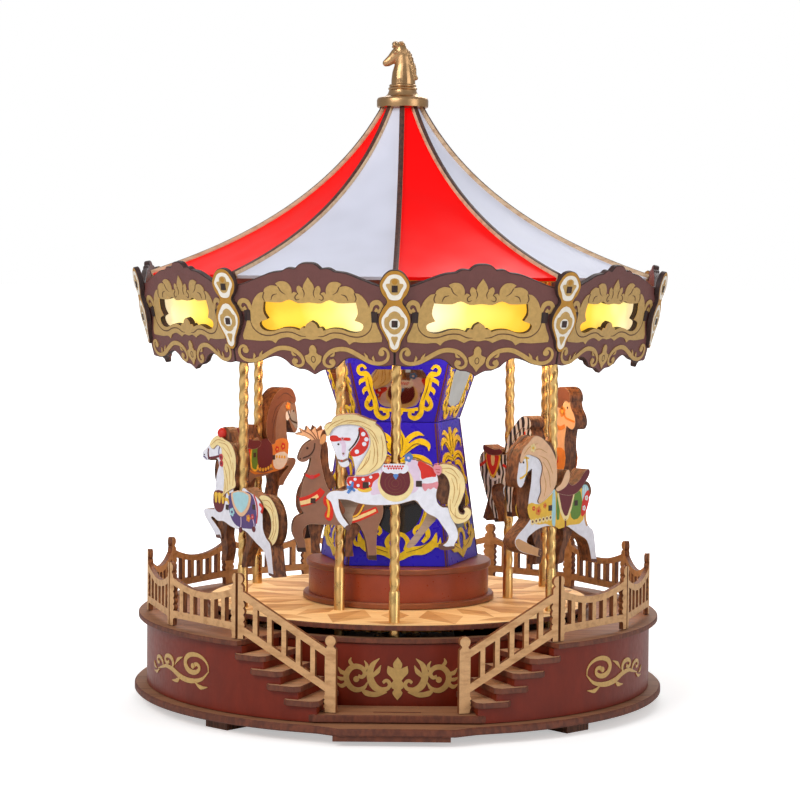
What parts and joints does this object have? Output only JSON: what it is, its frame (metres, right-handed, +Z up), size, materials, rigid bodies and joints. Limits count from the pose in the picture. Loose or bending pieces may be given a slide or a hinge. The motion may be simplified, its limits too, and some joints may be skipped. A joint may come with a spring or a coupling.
{
  "type": "carousel music box",
  "caption": "Round-based toy carousel: a turntable with canopy and animals on poles turns to music over a stepped, fenced base.",
  "frame": {"origin": "on the spin axis, on the surface that the feet stand on", "axes": "+Z up along the spin axis; the front with the stairs faces -Y; +X to the right seen from the front"},
  "size_m": [0.218, 0.2234, 0.271],
  "materials": {
    "brown_board": "satin wood grain, burnt cut edges",
    "red_wood": "stained wood grain with gold print",
    "pale_wood": "bare laser-cut wood with dark edges",
    "veneer": "inlaid veneer",
    "plum_wood": "painted wood with matte gold print",
    "blue_panel": "gloss blue print with yellow-gold ornament",
    "canopy_plastic": "gloss red and milky white panels between wooden ribs",
    "brass": "bright, twisted",
    "gold_cap": "satin gold",
    "steel": "plain",
    "black_plastic": "matte",
    "warm_diffuser": "translucent, lit from behind",
    "lamp": "white board with lamps",
    "white_animal": "printed wood layers with brown cut edges",
    "brown_animal": "printed wood layers with brown cut edges",
    "striped_animal": "printed wood layers with brown cut edges"
  },
  "bodies": {
    "base": {"bottom_board": "brown_board", "foot_1": "brown_board", "foot_2": "brown_board", "foot_3": "brown_board", "foot_4": "brown_board", "battery_box": "black_plastic", "battery_cover": "black_plastic", "base_wall": "red_wood", "front_wall": "red_wood", "top_board": "brown_board", "landing_plate": "brown_board", "stair_left": "brown_board", "stair_right": "brown_board", "stair_rail_left": "pale_wood", "stair_rail_right": "pale_wood", "fence_section_1": "pale_wood", "fence_section_2": "pale_wood", "fence_section_3": "pale_wood", "fence_section_4": "pale_wood", "fence_section_5": "pale_wood", "fence_section_6": "pale_wood", "lift_cam": "pale_wood", "spindle": "steel", "drive_motor": "steel", "movement_plate": "brass", "tone_comb": "steel"},
    "carousel": {"turntable": "veneer", "ring_gear": "brass", "pedestal": "red_wood", "column_lower": "blue_panel", "column_upper": "blue_panel", "canopy_floor": "brown_board", "cornice": "plum_wood", "light_diffuser": "warm_diffuser", "lamp_board": "lamp", "mast": "steel", "roof": "canopy_plastic", "roof_cap": "gold_cap", "horse_head_finial": "gold_cap"},
    "motor_gear": {"motor_pinion": "brass"},
    "music_barrel": {"music_cylinder": "brass"},
    "button": {"power_button": "brass"},
    "rider_white_horse": {"pole_white_horse": "brass", "white_horse": "white_animal"},
    "rider_bay_horse": {"pole_bay_horse": "brass", "bay_horse": "brown_animal"},
    "rider_camel": {"pole_camel": "brass", "camel": "brown_animal"},
    "rider_zebra": {"pole_zebra": "brass", "zebra": "striped_animal"},
    "rider_plumed_horse": {"pole_plumed_horse": "brass", "plumed_horse": "white_animal"},
    "rider_golden_horse": {"pole_golden_horse": "brass", "golden_horse": "white_animal"},
    "rider_grey_horse": {"pole_grey_horse": "brass", "grey_horse": "white_animal"},
    "rider_deer": {"pole_deer": "brass", "deer": "brown_animal"},
    "rider_black_horse": {"pole_black_horse": "brass", "black_horse": "brown_animal"}
  },
  "joints": [
    {"name": "turntable_spin", "type": "hinge", "parent": "base", "child": "carousel", "pos_m": [0, 0, 0], "axis": [0, 0, 1], "continuous": true},
    {"name": "motor_pinion_spin", "type": "hinge", "parent": "base", "child": "motor_gear", "pos_m": [0.06, 0, 0], "axis": [0, 0, 1], "continuous": true},
    {"name": "music_cylinder_spin", "type": "hinge", "parent": "base", "child": "music_barrel", "pos_m": [-0.06, 0, 0], "axis": [0, 0, 1], "continuous": true},
    {"name": "power_button_press", "type": "slide", "parent": "base", "child": "button", "axis": [0, -1, 0], "range_m": [0, 0.002], "stiffness_N_per_m": 150},
    {"name": "lift_white_horse", "type": "slide", "parent": "carousel", "child": "rider_white_horse", "axis": [0, 0, 1], "range_m": [-0.015, 0]},
    {"name": "lift_bay_horse", "type": "slide", "parent": "carousel", "child": "rider_bay_horse", "axis": [0, 0, 1], "range_m": [-0.015, 0]},
    {"name": "lift_camel", "type": "slide", "parent": "carousel", "child": "rider_camel", "axis": [0, 0, 1], "range_m": [-0.015, 0]},
    {"name": "lift_zebra", "type": "slide", "parent": "carousel", "child": "rider_zebra", "axis": [0, 0, 1], "range_m": [-0.015, 0]},
    {"name": "lift_plumed_horse", "type": "slide", "parent": "carousel", "child": "rider_plumed_horse", "axis": [0, 0, 1], "range_m": [0, 0.015]},
    {"name": "lift_golden_horse", "type": "slide", "parent": "carousel", "child": "rider_golden_horse", "axis": [0, 0, 1], "range_m": [0, 0.015]},
    {"name": "lift_grey_horse", "type": "slide", "parent": "carousel", "child": "rider_grey_horse", "axis": [0, 0, 1], "range_m": [0, 0.015]},
    {"name": "lift_deer", "type": "slide", "parent": "carousel", "child": "rider_deer", "axis": [0, 0, 1], "range_m": [0, 0.015]},
    {"name": "lift_black_horse", "type": "slide", "parent": "carousel", "child": "rider_black_horse", "axis": [0, 0, 1], "range_m": [0, 0.015]}
  ],
  "couplings": [
    {"joint": "motor_pinion_spin", "follows": "turntable_spin", "ratio": -9},
    {"joint": "music_cylinder_spin", "follows": "turntable_spin", "ratio": -9},
    {"joint": "lift_bay_horse", "follows": "lift_white_horse", "ratio": 1},
    {"joint": "lift_camel", "follows": "lift_white_horse", "ratio": 1},
    {"joint": "lift_zebra", "follows": "lift_white_horse", "ratio": 1},
    {"joint": "lift_plumed_horse", "follows": "lift_white_horse", "ratio": -1},
    {"joint": "lift_golden_horse", "follows": "lift_white_horse", "ratio": -1},
    {"joint": "lift_grey_horse", "follows": "lift_white_horse", "ratio": -1},
    {"joint": "lift_deer", "follows": "lift_white_horse", "ratio": -1},
    {"joint": "lift_black_horse", "follows": "lift_white_horse", "ratio": -1}
  ]
}
